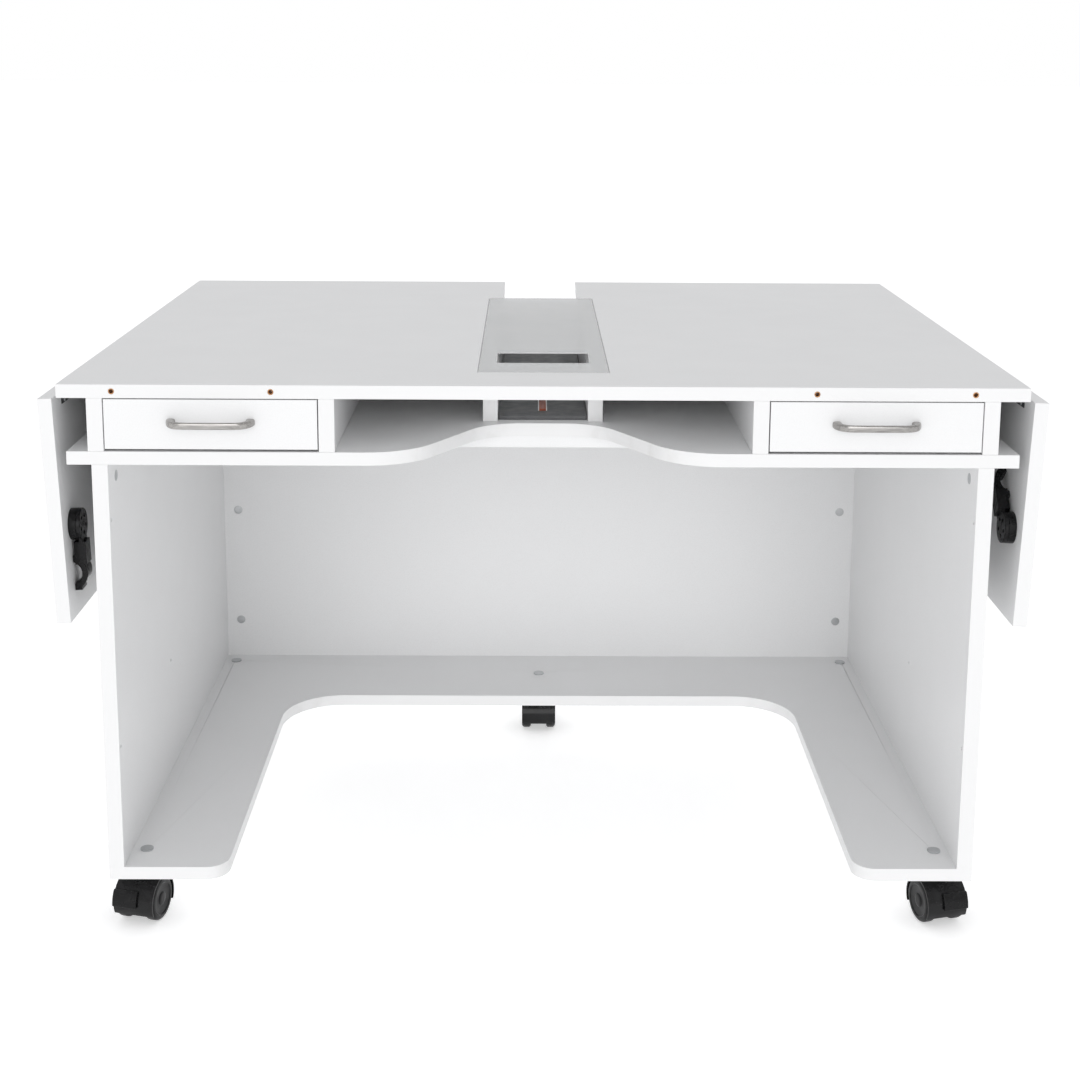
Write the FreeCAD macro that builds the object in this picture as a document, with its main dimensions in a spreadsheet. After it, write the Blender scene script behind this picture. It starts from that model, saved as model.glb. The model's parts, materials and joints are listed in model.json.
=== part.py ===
import FreeCAD, Part
import math
import os
import re
import Sketcher

# Sewing table with a slotted top, two drop leaves, two drawers and five casters.
# Millimetres. +Z is up, X runs along the width and +Y points away from the seated user.
# The origin is on the floor, under the middle of the bounding box.
# Depths in this file are measured from the front edge of the top, and place() moves them to the origin.

SIZES = {
    # top and its slot
    "top_width": 1270,
    "top_depth": 979,
    "top_height": 768,
    "board": 18,              # thickness of the horizontal boards
    "upright": 21,            # thickness of the upright boards
    "slot_width": 130,
    "slot_ledge": 25,
    "slot_front": 94,
    "rebate_margin": 202,     # from the rebate to the rear edge of the top
    "rebate_depth": 3,
    "rebate_radius": 10,
    "bridge": 71,             # front cross-piece of the clear insert
    "window": 86,             # length of the opening behind it
    "insert_gap": 1,
    # upper shelf and the boards that stand on it
    "shelf_inset": 10,        # shelf's ends inside the top's
    "shelf_setback": 93,      # shelf's rear edge in front of the top's
    "bay_height": 71.3,       # clear height between the shelf and the top
    "curve_depth": 178,
    "curve_mouth": 178,       # half width of the curve's mouth, at the front edge
    "curve_floor": 76,        # half width of the curve's straight rear stretch
    "curve_front_radius": 100,
    "curve_rear_radius": 80,
    "outer_inset": 59.5,      # inner face of the outer dividers, from the top's ends
    "inner_divider": 273.6,   # inner face of the inner dividers, from the middle
    "mid_lap": 1,             # the middle dividers' inner faces inside the slot's edges
    "mid_margin": 10,         # middle dividers behind the curve
    "rail_margin": 12,
    "rail_drop": 20,
    # machine bay
    "tray_margin": 22,        # tray behind the curve
    "tray_clear": 148,        # behind the tray, up to the rear wall
    "tray_thick": 6,
    "strip_setback": 34,
    "strip_length": 96,
    "strip_width": 10,
    "strip_thick": 3,
    "edging": 1.5,
    "batten": 9,
    "stop_width": 14,
    "stop_height": 8,
    # carcass
    "carcass_inset": 42.5,    # side panels inside the top's ends
    "carcass_setback": 143,   # back panel in front of the top's rear edge
    "caster_rise": 15.4,      # from the top of the wheels to the lower shelf
    "base_arm": 161.5,        # width of the lower shelf's two arms
    "base_rear": 212,         # depth of the lower shelf behind the knee space
    "knee_rear_radius": 95,
    "knee_front_radius": 30,
    "cam_radius": 7.5,
    "cam_depth": 12,
    "cam_fit": 0.1,
    "cam_low": 69,            # lowest cam locks of the back panel above the lower shelf
    "cam_high": 81.7,         # highest ones below the upper shelf
    "cam_inset": 25,          # from the side panels to the back panel's cam locks
    "cam_setback": 43,        # side panels' cam locks behind the front edge
    "cam_drop": 25,           # and below the upper shelf
    "pilot_radius": 2.5,
    "pilot_depth": 8,
    "pilot_front": 9,
    "pilot_far": 335,
    "pilot_low": 172,
    "pilot_high": 77.3,       # below the upper shelf
    # drawers
    "drawer_gap": 1.5,
    "drawer_lift": 3.5,
    "front_thick": 18,
    "box_wall": 12,
    "box_length": 430,
    "box_headroom": 15.3,     # over the drawer box
    "box_lift": 8,
    "bottom_thick": 4,
    "bottom_lift": 6,
    "slide_space": 13,
    "slide_length": 400,
    "slide_setback": 24,
    "channel_height": 35,
    "channel_depth": 10,
    "runner_height": 26,
    "metal": 1.2,             # slide sheet thickness
    # drawer handles
    "handle_length": 116,
    "handle_reach": 26,
    "handle_bar": 10,
    "handle_foot": 12,
    "handle_wall": 4,
    "handle_rise": 3,
    "screw_radius": 2,
    "screw_fit": 0.05,
    "screw_head": 4,
    "head_thick": 2,
    # leaves and their hinges
    "leaf_thick": 19,
    "leaf_drop": 306,
    "leaf_gap": 1,            # between the top's edge and a raised leaf
    "leaf_tilt": 2.3,         # degrees that a hanging leaf leans inwards
    "knuckle_radius": 2.2,
    "pin_radius": 1.1,
    "pin_fit": 0.05,
    "hinge_air": 0.3,
    "hinge_sheet": 1,
    "flange": 14,
    "hinge_inset": 45,
    "knuckle_count": 15,
    "knuckle_air": 0.4,
    "hinge_screws": 8,
    "hinge_screw_radius": 1.5,
    "hinge_screw_head": 3,
    "hinge_screw_thick": 1.2,
    "hinge_screw_length": 12,
    "hinge_screw_inset": 12,
    # swivel hooks on the leaves
    "hook_drop": 179,
    "hook_setback": 45,
    "base_radius": 21.5,
    "base_thick": 9.7,
    "hub_thick": 5.5,
    "hub_air": 0.3,
    "hub_pin": 4,
    "hub_hole": 2.5,
    "hub_hole_ring": 12,
    "arm_start": 22.5,
    "arm_width": 24,
    "arm_near": 3,
    "arm_far": 19,
    "arm_length": 54,
    "claw_outer": 24,
    "claw_inner": 16,
    "claw_foot": 9,
    "right_arm_turn": 135,    # degrees that the right hook is turned up from hanging
    # casters
    "caster_side": 40.5,      # stems inside the side panels' outer faces
    "caster_front": 53,
    "caster_rear": 47,        # corner stems in front of the back panel's rear face
    "caster_middle": 106,     # middle stem in front of it
    "wheel_radius": 30,
    "wheel_width": 16,
    "wheel_gap": 27,
    "wheel_face": 23,
    "wheel_dish": 1.5,
    "trail": 14,
    "axle_radius": 3,
    "axle_fit": 0.05,
    "hood_air": 1,
    "hood_wall": 2,
    "hood_skirt": 16,         # lowest edge of the hood above the floor
    "neck_radius": 12,
    "neck_gap": 1.2,          # between the neck and the lower shelf
    "stem_radius": 4,
    "stem_fit": 0.05,
    "stem_reach": 32,
    "stem_cap": 9,
    "stem_cap_thick": 2,
    "front_toe": 15,          # degrees that the front casters are turned outwards
    "pedal_width": 36,
    "pedal_thick": 3,
    "pedal_length": 22,
    # threaded inserts in the front edge of the top
    "bush_inset": 72,         # outer bushes from the top's ends
    "bush_spacing": 207,
    "bush_radius": 4,
    "bush_bore": 2.5,
    "bush_length": 14,
}

# Places that several pieces share, as expressions of the sizes above.
FRONT = "(handle_reach - top_depth) / 2"
TOP_UNDER = "(top_height - board)"
REBATE_REAR = "(top_depth - rebate_margin)"
SHELF_HALF = "(top_width / 2 - shelf_inset)"
SHELF_DEPTH = "(top_depth - shelf_setback)"
OUTER = "(top_width / 2 - outer_inset)"
MID = "(slot_width / 2 - mid_lap)"
CARCASS_HALF = "(top_width / 2 - carcass_inset)"
CARCASS_DEPTH = "(top_depth - carcass_setback)"
CASTER_HEIGHT = "(2 * wheel_radius + caster_rise)"
KNEE_HALF = "(top_width / 2 - carcass_inset - base_arm)"
KNEE_DEPTH = "(top_depth - carcass_setback - base_rear)"
SHELF_TOP = "(top_height - board - bay_height)"
SHELF_UNDER = "(top_height - board - bay_height - board)"
LOW_TOP = "(2 * wheel_radius + caster_rise + board)"
WALL_HEIGHT = "(top_height - 3 * board - bay_height - 2 * wheel_radius - caster_rise)"
WALL_FRONT = "(top_depth - shelf_setback - board)"
TRAY_FRONT = "(curve_depth + tray_margin)"
BAY = "(top_width / 2 - outer_inset - inner_divider - upright)"
BOX_HALF = "(top_width / 2 - outer_inset - inner_divider - upright) / 2 - slide_space"
BOX_HEIGHT = "(bay_height - box_lift - box_headroom)"
DRAWER_X = "(top_width / 2 - outer_inset + inner_divider + upright) / 2"
AXIS_OUT = "(knuckle_radius + hinge_air)"
AXIS_X = "(top_width / 2 + leaf_gap + knuckle_radius + hinge_air)"
AXIS_Z = "(top_height - leaf_thick - knuckle_radius - hinge_air)"

SIDES = {"left": -1, "right": 1}

DOC = FreeCAD.newDocument("SewingTable")
SHEET = DOC.addObject("Spreadsheet::Sheet", "Sizes")
PARTS = []


def fill_sheet():
    """Write each driving dimension to the sheet, with its name as the cell's alias."""
    for row, (name, value) in enumerate(SIZES.items(), start=1):
        SHEET.set("A%d" % row, name)
        SHEET.set("B%d" % row, str(value))
        SHEET.setAlias("B%d" % row, name)
    DOC.recompute()


def size(name):
    """Read a driving dimension back from the sheet."""
    return float(SHEET.get(name))


def link(text):
    """Turn the size names in a formula into references to the sheet."""
    def refer(match):
        word = match.group(0)
        return "Sizes." + word if word in SIZES else word
    return re.sub(r"[a-z][a-z_]*", refer, str(text))


def bind(item, **formulas):
    for name, text in formulas.items():
        item.setExpression(name, link(text))
    return item


def place(item, across="0", depth="0", height="0"):
    """Put an item at a place given from the front edge of the top."""
    item.setExpression("Placement.Base.x", link(across))
    item.setExpression("Placement.Base.y", link("%s + %s" % (FRONT, depth)))
    item.setExpression("Placement.Base.z", link(height))
    return item


def shift(item, across="0", depth="0", height="0"):
    """Put an item inside the frame of the piece that it helps to make."""
    item.setExpression("Placement.Base.x", link(across))
    item.setExpression("Placement.Base.y", link(depth))
    item.setExpression("Placement.Base.z", link(height))
    return item


def turn(item, axis, angle):
    """Turn an item about an axis through its own origin, by a formula in degrees."""
    item.Placement.Rotation = FreeCAD.Rotation(FreeCAD.Vector(*axis), 1)
    item.setExpression("Placement.Rotation.Angle", link(angle))
    return item


def keep(item, label):
    """Mark an item as a finished sub-part."""
    item.Label = label
    PARTS.append(item)
    return item


def box(name, across, deep, tall):
    return bind(DOC.addObject("Part::Box", name), Length=across, Width=deep, Height=tall)


def rod(name, radius, length, along="z"):
    """A cylinder that starts at its own origin and runs along an axis."""
    item = bind(DOC.addObject("Part::Cylinder", name), Radius=radius, Height=length)
    turns = {"x": ((0, 1, 0), 90), "y": ((1, 0, 0), -90), "z": ((0, 0, 1), 0)}
    axis, angle = turns[along]
    item.Placement.Rotation = FreeCAD.Rotation(FreeCAD.Vector(*axis), angle)
    return item


def fuse(name, items):
    item = DOC.addObject("Part::MultiFuse", name)
    item.Shapes = items
    return item


def cut(name, base, tools):
    item = DOC.addObject("Part::Cut", name)
    item.Base = base
    item.Tool = tools[0] if len(tools) == 1 else fuse(name + "_tools", tools)
    return item


def group(name, items):
    """Separate solids that share one node."""
    item = DOC.addObject("Part::Compound", name)
    item.Links = items
    return item


def new_body(name):
    return DOC.addObject("PartDesign::Body", name)


def new_sketch(body, name, plane="XY_Plane"):
    sketch = body.newObject("Sketcher::SketchObject", name)
    origin = [item for item in body.Origin.OriginFeatures if item.Role == plane][0]
    sketch.AttachmentSupport = [(origin, "")]
    sketch.MapMode = "FlatFace"
    return sketch


def fix_point(sketch, line, end, across, up):
    """Tie one end of a line or a circle's centre to the sketch's origin by two formulas."""
    for kind, text in (("DistanceX", across), ("DistanceY", up)):
        number = sketch.addConstraint(Sketcher.Constraint(kind, -1, 1, line, end, 1.0))
        sketch.setExpression("Constraints[%d]" % number, link(text))


def draw_outline(sketch, corners):
    """A closed outline of straight lines through corners given by formulas."""
    count = len(corners)
    start = [FreeCAD.Vector(100 * math.cos(2 * math.pi * i / count),
                            100 * math.sin(2 * math.pi * i / count), 0) for i in range(count)]
    lines = [sketch.addGeometry(Part.LineSegment(start[i], start[(i + 1) % count]), False)
             for i in range(count)]
    for i in range(count):
        sketch.addConstraint(Sketcher.Constraint("Coincident", lines[i], 2, lines[(i + 1) % count], 1))
    for line, (across, up) in zip(lines, corners):
        fix_point(sketch, line, 1, across, up)


def draw_circle(sketch, across, up, radius):
    circle = sketch.addGeometry(Part.Circle(FreeCAD.Vector(1, 1, 0), FreeCAD.Vector(0, 0, 1), 5), False)
    fix_point(sketch, circle, 3, across, up)
    number = sketch.addConstraint(Sketcher.Constraint("Radius", circle, 5))
    sketch.setExpression("Constraints[%d]" % number, link(radius))


def pad(body, name, sketch, length, midplane=False):
    item = body.newObject("PartDesign::Pad", name)
    item.Profile = sketch
    item.Midplane = midplane
    bind(item, Length=length)
    DOC.recompute()
    return item


def pocket(body, name, sketch, length, backwards):
    """Cut a sketch into the body, and stop if the cut takes nothing away."""
    before = body.Shape.Volume
    item = body.newObject("PartDesign::Pocket", name)
    item.Profile = sketch
    item.Reversed = backwards
    bind(item, Length=length)
    DOC.recompute()
    if not body.Shape.Volume < before:
        raise RuntimeError(name + " cuts nothing")
    return item


def round_uprights(body, name, base, radius, wanted):
    """Round the upright edges of a flat body that a test of their place picks."""
    edges = []
    for number, edge in enumerate(base.Shape.Edges, start=1):
        first, last = edge.Vertexes[0].Point, edge.Vertexes[-1].Point
        upright = abs(first.x - last.x) + abs(first.y - last.y) < 1e-6 < abs(first.z - last.z)
        if upright and wanted(first.x, first.y):
            edges.append("Edge%d" % number)
    item = body.newObject("PartDesign::Fillet", name)
    item.Base = (base, edges)
    bind(item, Radius=radius)
    DOC.recompute()
    return item


# ---------------------------------------------------------------- top and insert

def bush_spots():
    """Places of the two bushes on each side, as formulas from the middle."""
    outer = "top_width / 2 - bush_inset"
    return (outer + " - bush_spacing", outer)


def make_top_panel():
    """The one-piece top: a slot open at the rear, a rebate round it and four bores in the front edge."""
    body = new_body("top_board")
    half = "top_width / 2"
    through = "slot_width / 2"
    slot_end = "slot_front + slot_ledge"
    sketch = new_sketch(body, "top_outline")
    draw_outline(sketch, [
        ("-" + half, "0"), (half, "0"), (half, "top_depth"), (through, "top_depth"),
        (through, slot_end), ("-" + through, slot_end), ("-" + through, "top_depth"), ("-" + half, "top_depth")])
    pad(body, "top_pad", sketch, "board")
    edge = "slot_width / 2 + slot_ledge"
    sketch = new_sketch(body, "rebate_outline")
    bind(sketch, **{"AttachmentOffset.Base.z": "board"})
    draw_outline(sketch, [
        ("-(%s)" % edge, "slot_front"), (edge, "slot_front"),
        (edge, REBATE_REAR), ("-(%s)" % edge, REBATE_REAR)])
    rebate = pocket(body, "rebate", sketch, "rebate_depth", False)
    near_rear = size("top_depth") - size("rebate_margin") - 1
    round_uprights(body, "rebate_corners", rebate, "rebate_radius",
                   lambda x, y: near_rear < y < near_rear + 2 and abs(x) > size("slot_width") / 2 + 1)
    bores = []
    for side in SIDES.values():
        for spot in bush_spots():
            bore = rod("bush_bore", "bush_radius", "bush_length", along="y")
            bores.append(shift(bore, "%d * (%s)" % (side, spot), "0", "board / 2"))
    keep(place(cut("top_cut", body, bores), height=TOP_UNDER), "top_panel")


def make_clear_insert():
    """The clear plate that lies in the rebate and covers the slot, with a window behind its front cross-piece."""
    body = new_body("insert_plate")
    outer = "(slot_width / 2 + slot_ledge - insert_gap)"
    front = "slot_front + insert_gap"
    rear = REBATE_REAR + " - insert_gap"
    sketch = new_sketch(body, "insert_outline")
    draw_outline(sketch, [("-" + outer, front), (outer, front), (outer, rear), ("-" + outer, rear)])
    plate = pad(body, "insert_pad", sketch, "rebate_depth")
    far_rear = size("top_depth") - size("rebate_margin") - size("insert_gap") - 1
    plate = round_uprights(body, "insert_corners", plate, "rebate_radius", lambda x, y: y > far_rear)
    inner = "slot_width / 2"
    near = "slot_front + bridge"
    sketch = new_sketch(body, "window_outline")
    bind(sketch, **{"AttachmentOffset.Base.z": "rebate_depth"})
    draw_outline(sketch, [
        ("-" + inner, near), (inner, near), (inner, near + " + window"), ("-" + inner, near + " + window")])
    pocket(body, "insert_window", sketch, "rebate_depth", False)
    keep(place(body, height="top_height - rebate_depth"), "clear_insert")


def make_threaded_inserts():
    """Four brass bushes in the front edge of the top, for hanging an accessory."""
    bushes = []
    for side in SIDES.values():
        for spot in bush_spots():
            bush = cut("bush", rod("bush_wall", "bush_radius", "bush_length", along="y"),
                       [rod("bush_hole", "bush_bore", "bush_length", along="y")])
            bushes.append(shift(bush, "%d * (%s)" % (side, spot), "0", "board / 2"))
    keep(place(group("bushes", bushes), height=TOP_UNDER), "threaded_inserts")


# ---------------------------------------------------------------- upper shelf and bay

def make_upper_shelf():
    """The shelf under the top, with a curved hollow for the user at its front."""
    body = new_body("shelf_board")
    half = SHELF_HALF
    sketch = new_sketch(body, "shelf_outline")
    draw_outline(sketch, [
        ("-" + half, "0"), ("-curve_mouth", "0"), ("-curve_floor", "curve_depth"),
        ("curve_floor", "curve_depth"), ("curve_mouth", "0"), (half, "0"),
        (half, SHELF_DEPTH), ("-" + half, SHELF_DEPTH)])
    plate = pad(body, "shelf_pad", sketch, "board")
    inside = size("top_width") / 2 - size("shelf_inset") - 1
    plate = round_uprights(body, "curve_front", plate, "curve_front_radius",
                           lambda x, y: abs(x) < inside and abs(y) < 1)
    depth = size("curve_depth")
    round_uprights(body, "curve_rear", plate, "curve_rear_radius",
                   lambda x, y: abs(x) < inside and abs(y - depth) < 1)
    keep(place(body, height=SHELF_UNDER), "upper_shelf")


def make_bay_boards():
    """The boards between the shelf and the top: six dividers, the rear wall and the rail underneath."""
    spots = {"outer": (OUTER, "0"), "inner": ("inner_divider", "0"), "mid": (MID, "curve_depth + mid_margin")}
    for side, sign in SIDES.items():
        for name, (spot, setback) in spots.items():
            board = box("divider", "upright", "%s - (%s)" % (WALL_FRONT, setback), "bay_height")
            start = spot if sign > 0 else "-%s - upright" % spot
            keep(place(board, start, setback, SHELF_TOP), "%s_divider_%s" % (name, side))
    width = "2 * (%s + upright)" % OUTER
    wall = box("rear_wall", width, "board", "bay_height")
    keep(place(wall, "-%s - upright" % OUTER, WALL_FRONT, SHELF_TOP), "upper_rear_wall")
    rail = box("rail", "2 * (%s - upright)" % CARCASS_HALF, "board", "rail_drop")
    rail_front = "curve_depth + rail_margin"
    keep(place(rail, "upright - " + CARCASS_HALF, rail_front, SHELF_UNDER + " - rail_drop"), "shelf_rail")


def make_machine_bay():
    """The loose tray on the shelf, its centre strip, and the batten and stop at the rear wall."""
    depth = "%s - tray_clear - %s" % (WALL_FRONT, TRAY_FRONT)
    tray = box("tray", "2 * (%s - insert_gap)" % MID, depth, "tray_thick")
    keep(place(tray, "insert_gap - " + MID, TRAY_FRONT, SHELF_TOP), "machine_tray")
    strip = box("strip", "strip_width", "strip_length", "strip_thick")
    strip_height = SHELF_TOP + " + tray_thick"
    strip_depth = TRAY_FRONT + " + strip_setback"
    keep(place(strip, "-strip_width / 2", strip_depth, strip_height), "tray_strip")
    edgings = []
    for start in ("-strip_width / 2 - edging", "strip_width / 2"):
        edgings.append(shift(box("edge_trim", "edging", "strip_length", "strip_thick"), start))
    keep(place(group("strip_edges", edgings), "0", strip_depth, strip_height), "strip_edging")
    batten = box("batten", "2 * " + MID, "batten", "batten")
    keep(place(batten, "-" + MID, WALL_FRONT + " - batten", SHELF_TOP), "wall_batten")
    stop = box("stop", "stop_width", "stop_width", "stop_height")
    keep(place(stop, "-stop_width / 2", WALL_FRONT + " - batten - stop_width", SHELF_TOP), "tray_stop")


# ---------------------------------------------------------------- carcass

# Heights of the back panel's cam locks: the lowest, the highest and one halfway.
CAM_TOP = "(%s - cam_high)" % WALL_HEIGHT
CAM_SPOTS = ("cam_low", "(cam_low + %s) / 2" % CAM_TOP, CAM_TOP)
# Depths and heights of the pilot holes in each side panel's inner face.
PILOTS = (("pilot_front", "%s - pilot_high" % WALL_HEIGHT), ("pilot_front", "pilot_low"), ("pilot_far", "pilot_low"))


def make_lower_shelf():
    """The U-shaped base board that the side panels stand on."""
    body = new_body("base_board")
    half = CARCASS_HALF
    sketch = new_sketch(body, "base_outline")
    draw_outline(sketch, [
        ("-" + half, "0"), ("-" + KNEE_HALF, "0"), ("-" + KNEE_HALF, KNEE_DEPTH), (KNEE_HALF, KNEE_DEPTH),
        (KNEE_HALF, "0"), (half, "0"), (half, CARCASS_DEPTH), ("-" + half, CARCASS_DEPTH)])
    for across, depth in caster_spots():
        draw_circle(sketch, across, depth, "stem_radius + stem_fit")
    plate = pad(body, "base_pad", sketch, "board")
    inside = size("top_width") / 2 - size("carcass_inset") - 1
    plate = round_uprights(body, "arm_corners", plate, "knee_front_radius",
                           lambda x, y: abs(x) < inside and abs(y) < 1)
    depth = size("top_depth") - size("carcass_setback") - size("base_rear")
    knee = inside + 1 - size("base_arm")
    round_uprights(body, "knee_corners", plate, "knee_rear_radius",
                   lambda x, y: abs(abs(x) - knee) < 1 and abs(y - depth) < 1)
    keep(place(body, height=CASTER_HEIGHT), "lower_shelf")


def cam_bore(sign, fit):
    """A blind bore for a cam lock in a side panel's inner face, in the panel's own frame."""
    bore = rod("cam", "cam_radius + %s" % fit, "cam_depth", along="x")
    start = "0" if sign > 0 else "upright - cam_depth"
    return shift(bore, start, "cam_setback", WALL_HEIGHT + " - cam_drop")


def make_side_panels():
    for side, sign in SIDES.items():
        tools = [cam_bore(sign, "cam_fit")]
        for depth, height in PILOTS:
            pilot = rod("pilot", "pilot_radius", "pilot_depth", along="x")
            start = "0" if sign > 0 else "upright - pilot_depth"
            tools.append(shift(pilot, start, depth, height))
        panel = cut("side_cut", box("side", "upright", CARCASS_DEPTH, WALL_HEIGHT), tools)
        start = CARCASS_HALF + " - upright" if sign > 0 else "-" + CARCASS_HALF
        keep(place(panel, start, "0", LOW_TOP), "side_panel_" + side)


def back_cams(fit):
    """Cam locks or their bores along both ends of the back panel's front face."""
    items = []
    for sign in SIDES.values():
        for spot in CAM_SPOTS:
            item = rod("back_cam", "cam_radius + %s" % fit, "cam_depth", along="y")
            items.append(shift(item, "%d * (%s - upright - cam_inset)" % (sign, CARCASS_HALF), "0", spot))
    return items


def make_back_panel():
    width = "2 * (%s - upright)" % CARCASS_HALF
    board = shift(box("back", width, "board", WALL_HEIGHT), "upright - " + CARCASS_HALF)
    panel = cut("back_cut", board, back_cams("cam_fit"))
    keep(place(panel, "0", CARCASS_DEPTH + " - board", LOW_TOP), "back_panel")


def make_cam_locks():
    """Eight quarter-turn cam locks: six in the back panel and one in each side panel."""
    items = []
    for cam in back_cams("0"):
        items.append(cam)
    back = shift(group("back_cam_set", items), "0", CARCASS_DEPTH + " - board")
    sides = []
    for sign in SIDES.values():
        start = CARCASS_HALF + " - upright" if sign > 0 else "-" + CARCASS_HALF
        sides.append(shift(group("side_cam_set", [cam_bore(sign, "0")]), start))
    keep(place(group("cams", [back] + sides), "0", "0", LOW_TOP), "cam_locks")


# ---------------------------------------------------------------- drawers

def make_drawer(side, sign):
    """An inset front, three walls, a bottom, a bow handle and the moving halves of the slides."""
    middle = "%d * %s" % (sign, DRAWER_X)
    front_width = "%s - 2 * drawer_gap" % BAY
    front_height = "bay_height - drawer_gap - drawer_lift"
    front = shift(box("front_board", front_width, "front_thick", front_height),
                  "-(%s) / 2" % front_width, "0", "drawer_lift")
    holes = []
    for end in (-1, 1):
        hole = rod("screw_hole", "screw_radius + screw_fit", "front_thick", along="y")
        holes.append(shift(hole, handle_screw(end), "0", handle_level()))
    keep(place(cut("front_cut", front, holes), middle, "0", SHELF_TOP), "drawer_front_" + side)

    walls = []
    for start in ("-(%s)" % BOX_HALF, "%s - box_wall" % BOX_HALF):
        wall = box("box_side", "box_wall", "box_length", BOX_HEIGHT)
        walls.append(shift(wall, start, "front_thick", "box_lift"))
    rear = box("box_rear", "2 * (%s - box_wall)" % BOX_HALF, "box_wall", BOX_HEIGHT)
    walls.append(shift(rear, "box_wall - (%s)" % BOX_HALF, "front_thick + box_length - box_wall", "box_lift"))
    keep(place(group("box_walls", walls), middle, "0", SHELF_TOP), "drawer_walls_" + side)

    bottom = box("box_bottom", "2 * (%s - box_wall)" % BOX_HALF, "box_length - box_wall", "bottom_thick")
    bottom_start = "%s + box_wall - (%s)" % (middle, BOX_HALF)
    keep(place(bottom, bottom_start, "front_thick", SHELF_TOP + " + box_lift + bottom_lift"), "drawer_bottom_" + side)

    runners = [slide_half(end, "runner") for end in (-1, 1)]
    keep(place(group("runners", runners), middle, "slide_setback", SHELF_TOP), "drawer_runners_" + side)
    make_handle(side, middle)


def slide_half(end, kind):
    """One half of a side-mounted slide: a channel on the divider or the runner inside it."""
    tall = "channel_height" if kind == "channel" else "runner_height"
    middle = "box_lift + %s / 2" % BOX_HEIGHT
    low = "%s - %s / 2" % (middle, tall)
    # The web lies against the divider or the drawer; the lips point to the other half.
    wall = "%s + slide_space" % BOX_HALF
    if kind == "channel":
        web_near, lip_near = "%s - metal" % wall, "%s - channel_depth" % wall
    else:
        web_near, lip_near = BOX_HALF, BOX_HALF

    def spot(near, width):
        return near if end > 0 else "-(%s) - (%s)" % (near, width)

    pieces = [shift(box("web", "metal", "slide_length", tall), spot(web_near, "metal"), "0", low)]
    for lip in (low, "%s + %s / 2 - metal" % (middle, tall)):
        item = box("lip", "channel_depth", "slide_length", "metal")
        pieces.append(shift(item, spot(lip_near, "channel_depth"), "0", lip))
    return fuse(kind, pieces)


def make_slide_channels():
    items = []
    for sign in SIDES.values():
        pair = group("channel_pair", [slide_half(end, "channel") for end in (-1, 1)])
        items.append(shift(pair, "%d * %s" % (sign, DRAWER_X)))
    keep(place(group("channels", items), "0", "slide_setback", SHELF_TOP), "drawer_channels")


def handle_screw(end):
    return "%d * (handle_length - handle_foot) / 2" % end


def handle_level():
    return "drawer_lift + (bay_height - drawer_gap - drawer_lift) / 2 + handle_rise"


def make_handle(side, middle):
    """A bow handle: two feet that sweep forward into a flat bar, fixed by two screws."""
    body = new_body("bow")
    half = "handle_length / 2"
    inner = "(handle_length / 2 - handle_foot)"
    sketch = new_sketch(body, "bow_outline")
    draw_outline(sketch, [
        ("-" + half, "0"), ("-" + inner, "0"), ("-" + inner, "handle_wall - handle_reach"),
        (inner, "handle_wall - handle_reach"), (inner, "0"), (half, "0"),
        (half + " - handle_foot / 2", "-handle_reach"), ("handle_foot / 2 - " + half, "-handle_reach")])
    bow = pad(body, "bow_pad", sketch, "handle_bar", midplane=True)
    reach = size("handle_reach")
    round_uprights(body, "bow_corners", bow, "handle_foot / 2", lambda x, y: y < 1 - reach)
    bores = []
    for end in (-1, 1):
        bore = rod("thread", "screw_radius", "handle_foot", along="y")
        bores.append(shift(bore, handle_screw(end), "-handle_foot"))
    handle = cut("handle_cut", body, bores)
    keep(place(handle, middle, "0", "%s + %s" % (SHELF_TOP, handle_level())), "drawer_handle_" + side)
    screws = []
    for end in (-1, 1):
        shank = shift(rod("shank", "screw_radius", "handle_foot + front_thick", along="y"), "0", "-handle_foot")
        head = shift(rod("head", "screw_head", "head_thick", along="y"), "0", "front_thick")
        screws.append(shift(fuse("screw", [shank, head]), handle_screw(end)))
    pair = group("screws", screws)
    keep(place(pair, middle, "0", "%s + %s" % (SHELF_TOP, handle_level())), "handle_screws_" + side)


# ---------------------------------------------------------------- leaves and hinges

def hang(item, sign, depth="0"):
    """Put a piece, made about the hinge axis, where the hanging leaf carries it."""
    turn(item, (0, 1, 0), "%d * leaf_tilt" % sign)
    return place(item, "%d * %s" % (sign, AXIS_X), depth, AXIS_Z)


def outward(sign, near, width):
    """The X at which a box of a width starts when its near face lies this far outward."""
    return near if sign > 0 else "-(%s) - (%s)" % (near, width)


def make_leaf(side, sign):
    board = box("leaf_board", "leaf_thick", "top_depth", "leaf_drop")
    shift(board, outward(sign, AXIS_OUT, "leaf_thick"), "0", AXIS_OUT + " - leaf_drop")
    bores = hinge_screw_rods(sign, "hinge_screw_radius", AXIS_OUT, "hinge_screw_length")
    keep(hang(cut("leaf", board, bores), sign), "leaf_" + side)


def hinge_screw_rods(sign, radius, near, length):
    """Rods across a hinge's leaf flange, one at each screw."""
    items = []
    count = int(size("hinge_screws"))
    spacing = "(top_depth - 2 * hinge_inset - 2 * hinge_screw_inset) / %d" % (count - 1)
    for number in range(count):
        item = rod("screw_rod", radius, length, along="x")
        depth = "hinge_inset + hinge_screw_inset + %d * %s" % (number, spacing)
        items.append(shift(item, outward(sign, near, length), depth, "-flange + hinge_screw_head + hinge_sheet"))
    return items


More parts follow.
